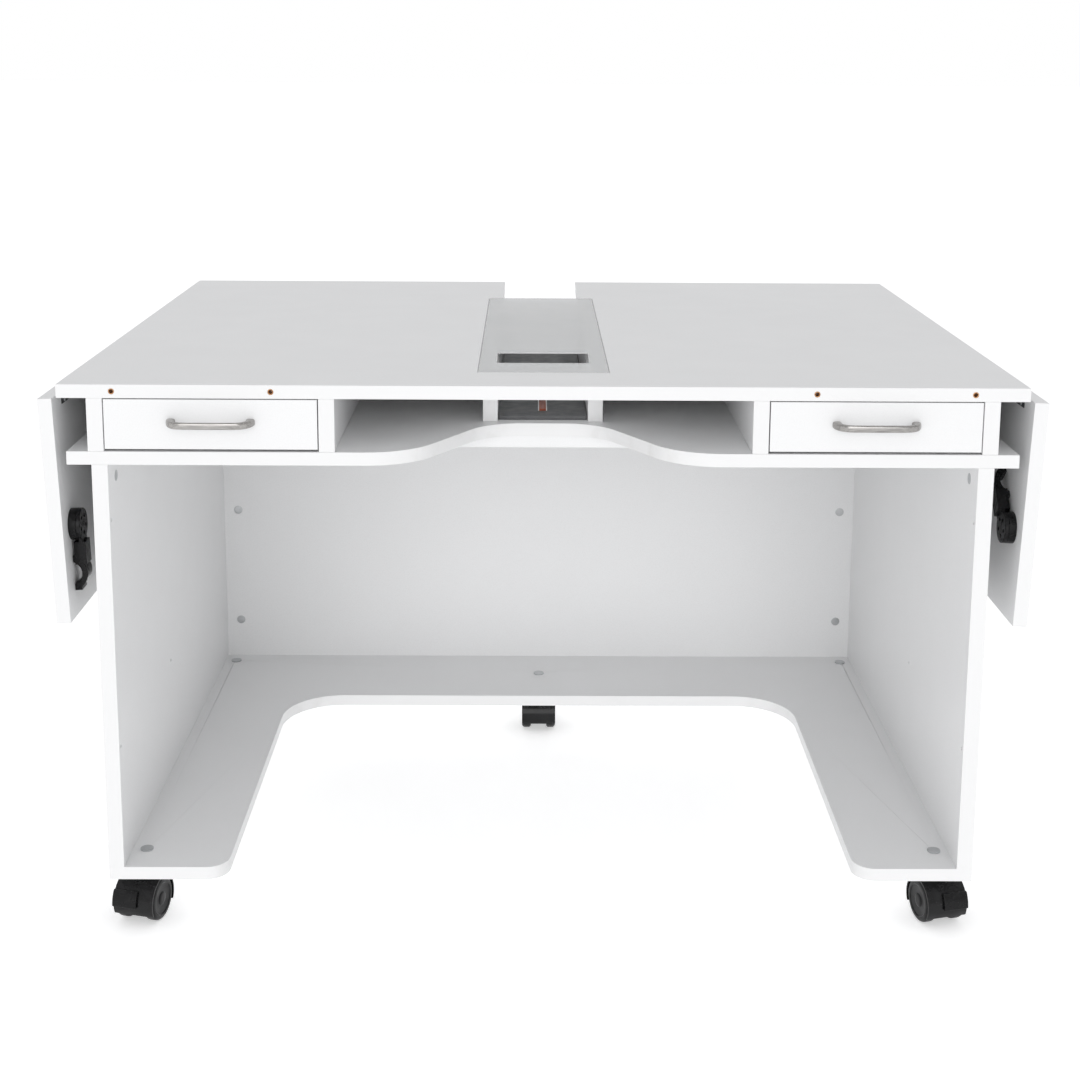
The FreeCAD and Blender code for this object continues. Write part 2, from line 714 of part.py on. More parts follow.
def make_hinge_screws(side, sign):
    """The row of screws that hold a hinge's flange to its leaf."""
    face = AXIS_OUT + " - hinge_sheet"
    shanks = hinge_screw_rods(sign, "hinge_screw_radius", face, "hinge_sheet + hinge_screw_length")
    heads = hinge_screw_rods(sign, "hinge_screw_head", face + " - hinge_screw_thick", "hinge_screw_thick")
    screws = [fuse("hinge_screw", list(pair)) for pair in zip(shanks, heads)]
    keep(hang(group("hinge_screw_row", screws), sign), "leaf_hinge_screws_" + side)


def knuckle_pitch():
    return "(top_depth - 2 * hinge_inset) / knuckle_count"


def knuckle_run(first):
    """The numbers of the knuckles that one flange holds."""
    return range(first, int(size("knuckle_count")), 2)


def knuckles(first, arm_boxes):
    """Every other knuckle of a hinge, each with the arms that tie it to its flange."""
    items = []
    for number in knuckle_run(first):
        start = "hinge_inset + %d * %s + knuckle_air / 2" % (number, knuckle_pitch())
        length = "%s - knuckle_air" % knuckle_pitch()
        items.append(shift(rod("knuckle", "knuckle_radius", length, along="y"), "0", start))
        for across, width, low, tall in arm_boxes:
            items.append(shift(box("arm", width, length, tall), across, start, low))
    return items


def hinge_bore():
    return rod("hinge_bore", "pin_radius + pin_fit", "top_depth", along="y")


def hinge_length():
    return "top_depth - 2 * hinge_inset"


def make_hinge(side, sign):
    """A cranked continuous hinge: one flange under the top, one on the leaf's inner face."""
    leg = "(flange - knuckle_radius - hinge_air)"
    # flange on the leaf: a strip below the knuckles, joined to every other one
    strip = shift(box("leaf_strip", "hinge_sheet", hinge_length(), leg),
                  outward(sign, AXIS_OUT + " - hinge_sheet", "hinge_sheet"), "hinge_inset", "-flange")
    tie = (outward(sign, AXIS_OUT + " - hinge_sheet", "hinge_sheet"), "hinge_sheet",
           "-flange / 2", "flange / 2")
    body = fuse("leaf_flange_body", [strip] + knuckles(1, [tie]))
    holes = hinge_screw_rods(sign, "hinge_screw_radius", AXIS_OUT + " - 2 * hinge_sheet", "3 * hinge_sheet")
    keep(hang(cut("leaf_flange", body, [hinge_bore()] + holes), sign), "leaf_flange_" + side)


def make_fixed_flanges():
    """The flanges under the top: flat, then cranked down and out to the fixed knuckles."""
    items = []
    rise = "(leaf_thick + knuckle_radius + hinge_air - board)"
    inset = "(leaf_gap + knuckle_radius + hinge_air)"
    for sign in SIDES.values():
        flat_near = "-%s - flange" % inset
        flat = shift(box("flat", "flange", hinge_length(), "hinge_sheet"),
                     outward(sign, flat_near, "flange"), "hinge_inset", rise + " - hinge_sheet")
        drop = (outward(sign, "-%s - hinge_sheet" % inset, "hinge_sheet"), "hinge_sheet",
                "-hinge_sheet / 2", rise + " - hinge_sheet / 2")
        reach = (outward(sign, "-%s - hinge_sheet" % inset, inset), inset, "-hinge_sheet / 2", "hinge_sheet")
        body = fuse("fixed_flange_body", [flat] + knuckles(0, [drop, reach]))
        flange = cut("fixed_flange", body, [hinge_bore()])
        items.append(shift(flange, "%d * %s" % (sign, AXIS_X)))
    keep(place(group("fixed_flange_pair", items), "0", "0", AXIS_Z), "fixed_hinge_flanges")


def make_hinge_pins():
    pins = []
    for sign in SIDES.values():
        pin = rod("pin", "pin_radius", hinge_length(), along="y")
        pins.append(shift(pin, "%d * %s" % (sign, AXIS_X), "hinge_inset"))
    keep(place(group("pins", pins), "0", "0", AXIS_Z), "hinge_pins")


# ---------------------------------------------------------------- swivel hooks

def on_leaf(item, sign, angle=0):
    """Put a piece, made about the hook's pivot with +X pointing into the table, on a hanging leaf."""
    lean = FreeCAD.Rotation(FreeCAD.Vector(0, 1, 0), sign * size("leaf_tilt"))
    face = FreeCAD.Rotation(FreeCAD.Vector(0, 0, 1), 0 if sign < 0 else 180)
    spin = FreeCAD.Rotation(FreeCAD.Vector(1, 0, 0), angle)
    item.Placement.Rotation = lean * face * spin
    across = "%d * (%s + %s * cos(leaf_tilt) - hook_drop * sin(leaf_tilt))" % (sign, AXIS_X, AXIS_OUT)
    height = "%s - hook_drop * cos(leaf_tilt) - %s * sin(leaf_tilt)" % (AXIS_Z, AXIS_OUT)
    return place(item, across, "hook_setback", height)


def make_hook(side, sign):
    """A round base on the leaf and a swivelling arm that ends in a claw open towards the leaf."""
    base = rod("base_disc", "base_radius", "base_thick", along="x")
    pin = rod("base_pin", "hub_pin", "base_thick + hub_air + hub_thick", along="x")
    keep(on_leaf(fuse("hook_base", [base, pin]), sign), "hook_base_" + side)

    hub_start = "base_thick + hub_air"
    hub = shift(rod("hub", "base_radius", "hub_thick", along="x"), hub_start)
    neck = shift(box("neck", "hub_thick", "arm_width", "arm_length - base_radius / 2"),
                 hub_start, "-arm_width / 2", "-arm_length")
    bar = shift(box("bar", "arm_far - arm_near", "arm_width", "arm_length - arm_start"),
                "arm_near", "-arm_width / 2", "-arm_length")
    claw = make_claw()
    tools = [shift(rod("hub_bore", "hub_pin + pin_fit", "arm_far", along="x"), "base_thick")]
    for number in range(5):
        turned = math.radians(36 + 72 * number)
        hole = rod("hub_hole", "hub_hole", "hub_thick + hub_air", along="x")
        tools.append(shift(hole, "base_thick", "%.6f * hub_hole_ring" % math.sin(turned),
                           "%.6f * hub_hole_ring" % math.cos(turned)))
    arm = cut("hook_arm", fuse("arm_body", [hub, neck, bar, claw]), tools)
    angle = -size("right_arm_turn") if sign > 0 else 0
    keep(on_leaf(arm, sign, angle), "hook_arm_" + side)


def make_claw():
    """The half-round claw at the end of a hook's arm, with a short foot at its lower end."""
    centre = "-arm_length - claw_inner + claw_foot / 2"
    near = "arm_far - claw_outer"
    ring = shift(rod("claw_ring", "claw_outer", "arm_width", along="y"), near, "-arm_width / 2", centre)
    bore = shift(rod("claw_bore", "claw_inner", "arm_width", along="y"), near, "-arm_width / 2", centre)
    shell = cut("claw_shell", ring, [bore])
    window = shift(box("claw_window", "claw_outer", "arm_width", "2 * claw_outer"),
                   "hub_air", "-arm_width / 2", centre + " - claw_outer")
    common = DOC.addObject("Part::MultiCommon", "claw_half")
    common.Shapes = [shell, window]
    foot = shift(box("claw_foot", "arm_far / 2", "arm_width", "claw_foot / 2"),
                 "hub_air", "-arm_width / 2", centre + " - claw_outer")
    return fuse("claw", [common, foot])


# ---------------------------------------------------------------- casters

def caster_spots():
    """Places of the five caster stems, as formulas from the middle and the front edge."""
    side = "(%s - caster_side)" % CARCASS_HALF
    rear = "(%s - caster_rear)" % CARCASS_DEPTH
    return [("-" + side, "caster_front"), (side, "caster_front"), ("-" + side, rear), (side, rear),
            ("0", CARCASS_DEPTH + " - caster_middle")]


CASTERS = ("front_left", "front_right", "rear_left", "rear_right", "rear_middle")


def caster_turn(name):
    if name == "front_left":
        return "-front_toe"
    if name == "front_right":
        return "front_toe"
    return "0"


def make_caster_stems():
    """A threaded stem through the lower shelf for each caster, with a low cap on the shelf."""
    items = []
    for across, depth in caster_spots():
        shank = shift(rod("stem", "stem_radius", "stem_reach + board"), "0", "0", "-stem_reach")
        cap = shift(rod("cap", "stem_cap", "stem_cap_thick"), "0", "0", "board")
        items.append(shift(fuse("stem_and_cap", [shank, cap]), across, depth))
    keep(place(group("stems", items), "0", "0", CASTER_HEIGHT), "caster_stems")


def make_housing(name, across, depth):
    """The hood over both wheels, the web between them and the neck round the stem."""
    width = "(wheel_gap + 2 * wheel_width)"
    left = "-%s / 2" % width
    drum = rod("hood", "wheel_radius + hood_air + hood_wall", width, along="x")
    tools = []
    for start in (left + " - hood_wall", "wheel_gap / 2 - hood_air"):
        well = rod("well", "wheel_radius + hood_air", "wheel_width + hood_wall + hood_air", along="x")
        tools.append(shift(well, start, "-trail", "wheel_radius"))
    under = box("under", "2 * " + width, "4 * wheel_radius", "2 * wheel_radius")
    tools.append(shift(under, "-" + width, "-trail - 2 * wheel_radius", "hood_skirt - 2 * wheel_radius"))
    shell = cut("hood_shell", shift(drum, left, "-trail", "wheel_radius"), tools)
    neck_height = CASTER_HEIGHT + " - neck_gap - wheel_radius"
    neck = shift(rod("neck", "neck_radius", neck_height), "0", "0", "wheel_radius")
    socket = rod("socket", "stem_radius + stem_fit", "stem_reach + hood_air")
    shift(socket, "0", "0", CASTER_HEIGHT + " - stem_reach - hood_air")
    axle = shift(rod("axle_bore", "axle_radius + axle_fit", width, along="x"), left, "-trail", "wheel_radius")
    housing = cut("housing", fuse("housing_body", [shell, neck]), [socket, axle])
    turn(housing, (0, 0, 1), caster_turn(name))
    keep(place(housing, across, depth), "caster_housing_" + name)


def make_wheels(name, across, depth):
    """Two wheels with dished faces, pressed on one axle."""
    items = []
    reach = "(wheel_gap / 2 + wheel_width)"
    for end in (-1, 1):
        start = "wheel_gap / 2" if end > 0 else "-" + reach
        tread = shift(rod("tread", "wheel_radius", "wheel_width", along="x"), start)
        dish_start = reach + " - wheel_dish" if end > 0 else "-" + reach
        dish = shift(rod("dish", "wheel_face", "wheel_dish", along="x"), dish_start)
        bore = shift(rod("wheel_bore", "axle_radius", "wheel_width", along="x"), start)
        items.append(cut("wheel", tread, [dish, bore]))
    axle = rod("axle", "axle_radius", "2 * (%s - wheel_dish)" % reach, along="x")
    items.append(shift(axle, "wheel_dish - " + reach))
    wheels = group("wheel_set", items)
    angle = caster_turn(name)
    turn(wheels, (0, 0, 1), angle)
    middle = "%s + trail * sin(%s)" % (across, angle)
    keep(place(wheels, middle, "%s - trail * cos(%s)" % (depth, angle), "wheel_radius"), "caster_wheels_" + name)


def make_pedal(name, across, depth):
    """The brake pedal over the front of a hood."""
    hood_radius = "(wheel_radius + hood_air + hood_wall)"
    ring = rod("pedal_ring", hood_radius + " + hood_air + pedal_thick", "pedal_width", along="x")
    bore = rod("pedal_bore", hood_radius + " + hood_air", "pedal_width", along="x")
    shell = cut("pedal_shell", ring, [bore])
    window = shift(box("pedal_window", "pedal_width", "2 * wheel_radius", "pedal_length"),
                   "0", "-2 * wheel_radius", "-hood_air")
    common = DOC.addObject("Part::MultiCommon", "pedal")
    common.Shapes = [shell, window]
    start = "(wheel_gap / 2 + wheel_width - pedal_width)"
    across_local = "-%s - pedal_width" % start if name == "front_left" else start
    holder = group("pedal_set", [shift(common, across_local, "-trail")])
    turn(holder, (0, 0, 1), caster_turn(name))
    keep(place(holder, across, depth, "wheel_radius"), "brake_pedal_" + name)


# ---------------------------------------------------------------- build, check and write

def build():
    make_top_panel()
    make_clear_insert()
    make_threaded_inserts()
    make_upper_shelf()
    make_bay_boards()
    make_machine_bay()
    make_lower_shelf()
    make_side_panels()
    make_back_panel()
    make_cam_locks()
    make_slide_channels()
    make_fixed_flanges()
    make_hinge_pins()
    make_caster_stems()
    for side, sign in SIDES.items():
        make_drawer(side, sign)
        make_leaf(side, sign)
        make_hinge(side, sign)
        make_hinge_screws(side, sign)
        make_hook(side, sign)
    for name, (across, depth) in zip(CASTERS, caster_spots()):
        make_housing(name, across, depth)
        make_wheels(name, across, depth)
        if name.startswith("front"):
            make_pedal(name, across, depth)


def check():
    """Stop if any object failed, or if a sub-part's shape is missing or broken."""
    DOC.recompute()
    for item in DOC.Objects:
        if "Invalid" in item.State or "Error" in item.State:
            raise RuntimeError("%s (%s) failed: %s" % (item.Name, item.Label, item.State))
    for item in PARTS:
        if item.Shape.isNull() or not item.Shape.isValid() or not item.Shape.Solids:
            raise RuntimeError("%s has no valid shape" % item.Label)


def write():
    os.makedirs("parts", exist_ok=True)
    for item in PARTS:
        item.Shape.exportStep("parts/%s.step" % item.Label)
    print("wrote %d sub-parts" % len(PARTS))


fill_sheet()
build()
check()
write()
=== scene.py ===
import json
import math

import bmesh
import bpy
from mathutils import Matrix, Vector


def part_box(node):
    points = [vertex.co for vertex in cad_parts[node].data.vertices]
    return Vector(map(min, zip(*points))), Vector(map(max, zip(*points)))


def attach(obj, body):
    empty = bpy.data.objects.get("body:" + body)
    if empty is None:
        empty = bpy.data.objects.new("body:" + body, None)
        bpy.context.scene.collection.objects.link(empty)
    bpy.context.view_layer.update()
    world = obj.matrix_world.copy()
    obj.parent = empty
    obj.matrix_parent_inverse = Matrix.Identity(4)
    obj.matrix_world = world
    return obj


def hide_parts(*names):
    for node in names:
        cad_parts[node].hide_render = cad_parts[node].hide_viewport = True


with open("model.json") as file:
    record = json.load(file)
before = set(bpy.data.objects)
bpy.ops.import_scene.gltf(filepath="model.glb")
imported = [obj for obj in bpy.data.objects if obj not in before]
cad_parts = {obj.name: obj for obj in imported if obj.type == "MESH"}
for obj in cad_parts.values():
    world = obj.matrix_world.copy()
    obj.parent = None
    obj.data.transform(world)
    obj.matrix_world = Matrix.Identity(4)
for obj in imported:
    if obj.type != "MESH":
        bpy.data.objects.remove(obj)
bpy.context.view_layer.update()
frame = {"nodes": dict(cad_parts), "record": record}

NODES = frame["nodes"]
SIDES = {"left": -1, "right": 1}
CASTERS = ("front_left", "front_right", "rear_left", "rear_right", "rear_middle")
MM = 0.001

WINDOW_HALF = 65 * MM            # half the width of the insert's window
WINDOW_START = 70 * MM           # from the front of the insert to its window
WINDOW_DEPTH = 86 * MM
SHELF_TOP = 0.0934               # top of the lower shelf
CAM_RISES = (69, 277.3, 485.6)   # cam locks in the back panel, in mm above the lower shelf
BACK_CAM_ACROSS = 0.5465
SIDE_CAM = (0.5715, -0.4335, 0.6357)


# ---------------------------------------------------------------- camera, light and floor

def make_camera():
    """A camera in front of the table, a little left of the middle and above the top."""
    data = bpy.data.cameras.new("camera")
    data.lens = 56.46
    data.shift_y = -0.17
    data.clip_end = 50
    camera = bpy.data.objects.new("camera", data)
    bpy.context.scene.collection.objects.link(camera)
    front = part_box("top_panel")[0].y
    yaw, pitch, roll = -0.0067, -0.183, 0.0058
    camera.matrix_world = (Matrix.Translation((-0.0202, front - 2.1586, 1.2073))
                           @ Matrix.Rotation(yaw, 4, "Z")
                           @ Matrix.Rotation(math.pi / 2 + pitch, 4, "X")
                           @ Matrix.Rotation(roll, 4, "Z"))
    bpy.context.scene.camera = camera


def make_soft_sun(name, azimuth, elevation, strength, spread):
    """A wide, soft light from far away; azimuth 0 comes from the front and grows towards the right."""
    data = bpy.data.lights.new(name, "SUN")
    data.energy = strength
    data.angle = math.radians(spread)
    light = bpy.data.objects.new(name, data)
    turn, rise = math.radians(azimuth), math.radians(elevation)
    source = Vector((math.sin(turn) * math.cos(rise), -math.cos(turn) * math.cos(rise), math.sin(rise)))
    light.rotation_euler = source.to_track_quat("Z", "Y").to_euler()
    bpy.context.scene.collection.objects.link(light)


def make_world():
    """A white studio: bright round the horizon and softer overhead."""
    world = bpy.data.worlds.new("studio")
    world.use_nodes = True
    tree = world.node_tree
    background = tree.nodes["Background"]
    coords = tree.nodes.new("ShaderNodeTexCoord")
    split = tree.nodes.new("ShaderNodeSeparateXYZ")
    shade = tree.nodes.new("ShaderNodeValToRGB")
    tree.links.new(coords.outputs["Generated"], split.inputs[0])
    tree.links.new(split.outputs["Z"], shade.inputs[0])
    tree.links.new(shade.outputs[0], background.inputs["Color"])
    shade.color_ramp.elements[0].position = 0.05
    shade.color_ramp.elements[0].color = (1, 1, 1, 1)
    shade.color_ramp.elements[1].position = 0.16
    shade.color_ramp.elements[1].color = (0.74, 0.742, 0.748, 1)
    bpy.context.scene.world = world


def make_floor():
    """A plain pale floor, wide enough to have no edge in view."""
    bm = bmesh.new()
    half = 60.0
    outline = ((-half, -half), (half, -half), (half, half), (-half, half))
    corners = [bm.verts.new((x, y, 0)) for x, y in outline]
    bm.faces.new(corners)
    floor = mesh_object("floor", bm)
    material, tree, shader = new_material("floor_paint")
    colour_noise(tree, shader, (0.9, 0.9, 0.9), (0.885, 0.885, 0.888), 1.5)
    shader.inputs["Roughness"].default_value = 0.8
    shader.inputs["Specular IOR Level"].default_value = 0.1
    shader.inputs["Emission Color"].default_value = (1, 1, 1, 1)
    shader.inputs["Emission Strength"].default_value = 0.42
    floor.data.materials.append(material)


def set_view():
    scene = bpy.context.scene
    scene.view_settings.view_transform = "Standard"
    scene.view_settings.look = "None"


# ---------------------------------------------------------------- materials

def new_material(name):
    material = bpy.data.materials.new(name)
    material.use_nodes = True
    tree = material.node_tree
    return material, tree, tree.nodes["Principled BSDF"]


def object_coords(tree, scale=(1, 1, 1)):
    coords = tree.nodes.new("ShaderNodeTexCoord")
    mapping = tree.nodes.new("ShaderNodeMapping")
    mapping.inputs["Scale"].default_value = scale
    tree.links.new(coords.outputs["Object"], mapping.inputs["Vector"])
    return mapping.outputs["Vector"]


def noise(tree, scale, detail=3.0, stretch=(1, 1, 1)):
    node = tree.nodes.new("ShaderNodeTexNoise")
    node.inputs["Scale"].default_value = scale
    node.inputs["Detail"].default_value = detail
    tree.links.new(object_coords(tree, stretch), node.inputs["Vector"])
    return node.outputs["Fac"]


def ramp(tree, value, stops):
    """A colour ramp; each stop is a position and a colour or a grey level."""
    node = tree.nodes.new("ShaderNodeValToRGB")
    elements = node.color_ramp.elements
    while len(elements) < len(stops):
        elements.new(0.5)
    for element, (position, colour) in zip(elements, stops):
        element.position = position
        element.color = (*colour, 1) if isinstance(colour, tuple) else (colour, colour, colour, 1)
    tree.links.new(value, node.inputs[0])
    return node.outputs[0]


def mix(tree, factor, first, second, mode="MIX"):
    node = tree.nodes.new("ShaderNodeMix")
    node.data_type = "RGBA"
    node.blend_type = mode
    for socket, value in ((node.inputs[0], factor), (node.inputs[6], first), (node.inputs[7], second)):
        if isinstance(value, (int, float)):
            socket.default_value = value
        elif isinstance(value, tuple):
            socket.default_value = (*value, 1)
        else:
            tree.links.new(value, socket)
    return node.outputs[2]


def maths(tree, operation, first, second=0.0):
    node = tree.nodes.new("ShaderNodeMath")
    node.operation = operation
    for socket, value in zip(node.inputs, (first, second)):
        if isinstance(value, (int, float)):
            socket.default_value = value
        else:
            tree.links.new(value, socket)
    return node.outputs[0]


def colour_noise(tree, shader, first, second, scale):
    tree.links.new(ramp(tree, noise(tree, scale), [(0.35, first), (0.65, second)]), shader.inputs["Base Color"])


def rough_noise(tree, shader, low, high, scale, stretch=(1, 1, 1)):
    value = noise(tree, scale, 4, stretch)
    tree.links.new(ramp(tree, value, [(0.35, low), (0.65, high)]), shader.inputs["Roughness"])


def add_bump(tree, shader, height, strength, distance):
    node = tree.nodes.new("ShaderNodeBump")
    node.inputs["Strength"].default_value = strength
    node.inputs["Distance"].default_value = distance
    tree.links.new(height, node.inputs["Height"])
    tree.links.new(node.outputs[0], shader.inputs["Normal"])


def rounded_edge(tree):
    """1 on the rounded edges between square faces and 0 on the faces, from the surface's own direction."""
    coords = tree.nodes.new("ShaderNodeTexCoord")
    split = tree.nodes.new("ShaderNodeSeparateXYZ")
    tree.links.new(coords.outputs["Normal"], split.inputs[0])
    parts = [maths(tree, "ABSOLUTE", split.outputs[axis]) for axis in range(3)]
    largest = maths(tree, "MAXIMUM", maths(tree, "MAXIMUM", parts[0], parts[1]), parts[2])
    return ramp(tree, largest, [(0.9, 1.0), (0.985, 0.0)])


def face_direction(tree, axis):
    """1 on faces square to an axis and 0 on the others."""
    coords = tree.nodes.new("ShaderNodeTexCoord")
    split = tree.nodes.new("ShaderNodeSeparateXYZ")
    tree.links.new(coords.outputs["Normal"], split.inputs[0])
    return ramp(tree, maths(tree, "ABSOLUTE", split.outputs[axis]), [(0.6, 0.0), (0.8, 1.0)])


def laminate(name, axis, white=(0.83, 0.832, 0.836), edge_white=(0.815, 0.816, 0.818)):
    """White laminated board: a fine pebbled face, and smooth edge banding on its narrow sides."""
    material, tree, shader = new_material(name)
    face = face_direction(tree, axis)
    cloud = ramp(tree, noise(tree, 2.2, 2), [(0.3, tuple(c * 0.985 for c in white)), (0.7, white)])
    speck = ramp(tree, noise(tree, 900, 1), [(0.36, 0.965), (0.5, 1.0)])
    face_colour = mix(tree, 1.0, cloud, speck, "MULTIPLY")
    band = ramp(tree, noise(tree, 6, 2), [(0.3, tuple(c * 0.99 for c in edge_white)), (0.7, edge_white)])
    colour = mix(tree, face, band, face_colour)
    scuff = ramp(tree, noise(tree, 38, 5), [(0.5, 0.0), (0.72, 1.0)])
    worn = maths(tree, "MULTIPLY", rounded_edge(tree), scuff)
    final = mix(tree, maths(tree, "MULTIPLY", worn, 0.35), colour, (0.66, 0.655, 0.64))
    tree.links.new(final, shader.inputs["Base Color"])
    rough_noise(tree, shader, 0.4, 0.5, 14)
    pebble = maths(tree, "MULTIPLY", noise(tree, 420, 2), face)
    wave = maths(tree, "MULTIPLY", noise(tree, 9, 1), 0.6)
    add_bump(tree, shader, maths(tree, "ADD", pebble, wave), 0.35, 0.00018)
    shader.inputs["Coat Weight"].default_value = 0.12
    shader.inputs["Coat Roughness"].default_value = 0.3
    return material


def clear_acrylic():
    """Clear acrylic, drawn partly opaque with a pale base colour that lightens what shows through it, and with fine
    scratches in its surface.
    """
    material, tree, shader = new_material("clear_acrylic")
    colour_noise(tree, shader, (0.82, 0.83, 0.832), (0.86, 0.868, 0.87), 5)
    shader.inputs["Transmission Weight"].default_value = 0.2
    shader.inputs["Alpha"].default_value = 0.66
    shader.inputs["IOR"].default_value = 1.47
    rough_noise(tree, shader, 0.03, 0.08, 40)
    add_bump(tree, shader, noise(tree, 60, 6, (1, 0.05, 1)), 0.04, 0.0002)
    return material


# A dark grey board for the machine tray; its dark colour is partly the board's own and partly painted shade from the
# bay under the top.
def dark_tray_and_painted_shade():
    material, tree, shader = new_material("dark_tray_and_painted_shade")
    grain = noise(tree, 30, 5, (1, 0.12, 1))
    tree.links.new(ramp(tree, grain, [(0.3, (0.085, 0.087, 0.091)), (0.7, (0.125, 0.127, 0.13))]),
                   shader.inputs["Base Color"])
    rough_noise(tree, shader, 0.36, 0.5, 60)
    add_bump(tree, shader, noise(tree, 500, 2), 0.3, 0.0002)
    return material


def brown_wood():
    material, tree, shader = new_material("brown_wood")
    rings = noise(tree, 60, 6, (1, 0.08, 1))
    tree.links.new(ramp(tree, rings, [(0.25, (0.13, 0.026, 0.012)), (0.5, (0.34, 0.075, 0.032)), (0.75, (0.5, 0.15, 0.062))]),
                   shader.inputs["Base Color"])
    rough_noise(tree, shader, 0.3, 0.5, 120, (1, 0.1, 1))
    add_bump(tree, shader, rings, 0.4, 0.0003)
    return material


def moulded_plastic(name, dark, light, low, high, grain=700, depth=0.00012, gloss=0.5):
    """Injection-moulded plastic with a fine spark-eroded texture and paler rubbed edges."""
    material, tree, shader = new_material(name)
    base = ramp(tree, noise(tree, 25, 3), [(0.35, dark), (0.65, light)])
    rubbed = maths(tree, "MULTIPLY", rounded_edge(tree), ramp(tree, noise(tree, 90, 4), [(0.45, 0.0), (0.7, 0.5)]))
    pale = tuple(min(1.0, c * 1.7 + 0.008) for c in light)
    tree.links.new(mix(tree, rubbed, base, pale), shader.inputs["Base Color"])
    shader.inputs["Specular IOR Level"].default_value = gloss
    rough_noise(tree, shader, low, high, 60)
    add_bump(tree, shader, noise(tree, grain, 2), 0.5, depth)
    return material


def metal(name, dark, light, low, high, stretch, scale=60.0, depth=0.00008):
    """Brushed or plated metal: fine lines along one axis and a little tarnish."""
    material, tree, shader = new_material(name)
    lines = noise(tree, scale, 5, stretch)
    tarnish = ramp(tree, noise(tree, 30, 3), [(0.4, 1.0), (0.75, 0.8)])
    base = ramp(tree, lines, [(0.3, dark), (0.7, light)])
    tree.links.new(mix(tree, 1.0, base, tarnish, "MULTIPLY"), shader.inputs["Base Color"])
    shader.inputs["Metallic"].default_value = 1.0
    tree.links.new(ramp(tree, lines, [(0.3, low), (0.7, high)]), shader.inputs["Roughness"])
    add_bump(tree, shader, lines, 0.3, depth)
    return material


def make_materials():
    black = ((0.004, 0.004, 0.0045), (0.0075, 0.0075, 0.008))
    return {
        "flat": laminate("white_laminate_level", 2),
        "side": laminate("white_laminate_side", 0),
        "cross": laminate("white_laminate_cross", 1),
        "clear": clear_acrylic(),
        "dark_board": dark_tray_and_painted_shade(),
        "wood": brown_wood(),
        "white_plastic": moulded_plastic("white_plastic", (0.74, 0.74, 0.73), (0.8, 0.8, 0.79), 0.3, 0.42),
        "brass": metal("brass", (0.42, 0.2, 0.09), (0.62, 0.34, 0.17), 0.25, 0.42, (1, 1, 1)),
        "zinc": metal("zinc_plate", (0.5, 0.51, 0.52), (0.68, 0.69, 0.7), 0.28, 0.45, (1, 1, 1)),
        "dark_steel": metal("dark_steel", (0.05, 0.05, 0.052), (0.11, 0.11, 0.115), 0.3, 0.5, (1, 0.05, 1)),
        "nickel": metal("brushed_nickel", (0.27, 0.26, 0.25), (0.5, 0.485, 0.47), 0.16, 0.3, (0.04, 1, 1), 900),
        "black": moulded_plastic("black_plastic", *black, 0.2, 0.32, gloss=0.22),
        "gloss_black": moulded_plastic("black_gloss", *black, 0.14, 0.22, 500, 0.00005, 0.28),
        "tread": moulded_plastic("black_tread", (0.005, 0.005, 0.0055), (0.01, 0.01, 0.0105), 0.3, 0.42, gloss=0.2),
    }


# ---------------------------------------------------------------- CAD nodes: materials and rounded edges

def dress(node, material, edge=0.0, segments=3, angle=35):
    """Give a CAD node its material and, by modifiers only, its small rounded edges."""
    item = NODES[node]
    item.data.materials.clear()
    item.data.materials.append(material)
    if edge:
        item.data.polygons.foreach_set("use_smooth", [True] * len(item.data.polygons))
        weld = item.modifiers.new("weld", "WELD")
        weld.merge_threshold = 0.00001
        bevel = item.modifiers.new("edge", "BEVEL")
        bevel.width = edge
        bevel.segments = segments
        bevel.limit_method = "ANGLE"
        bevel.angle_limit = math.radians(angle)
        bevel.use_clamp_overlap = True
        weigh_normals(item)


def weigh_normals(item):
    """Shade an item so that its large faces stay flat and only its rounded edges turn."""
    weighted = item.modifiers.new("flat_faces", "WEIGHTED_NORMAL")
    weighted.mode = "FACE_AREA_WITH_ANGLE"
    weighted.weight = 100
    weighted.keep_sharp = True


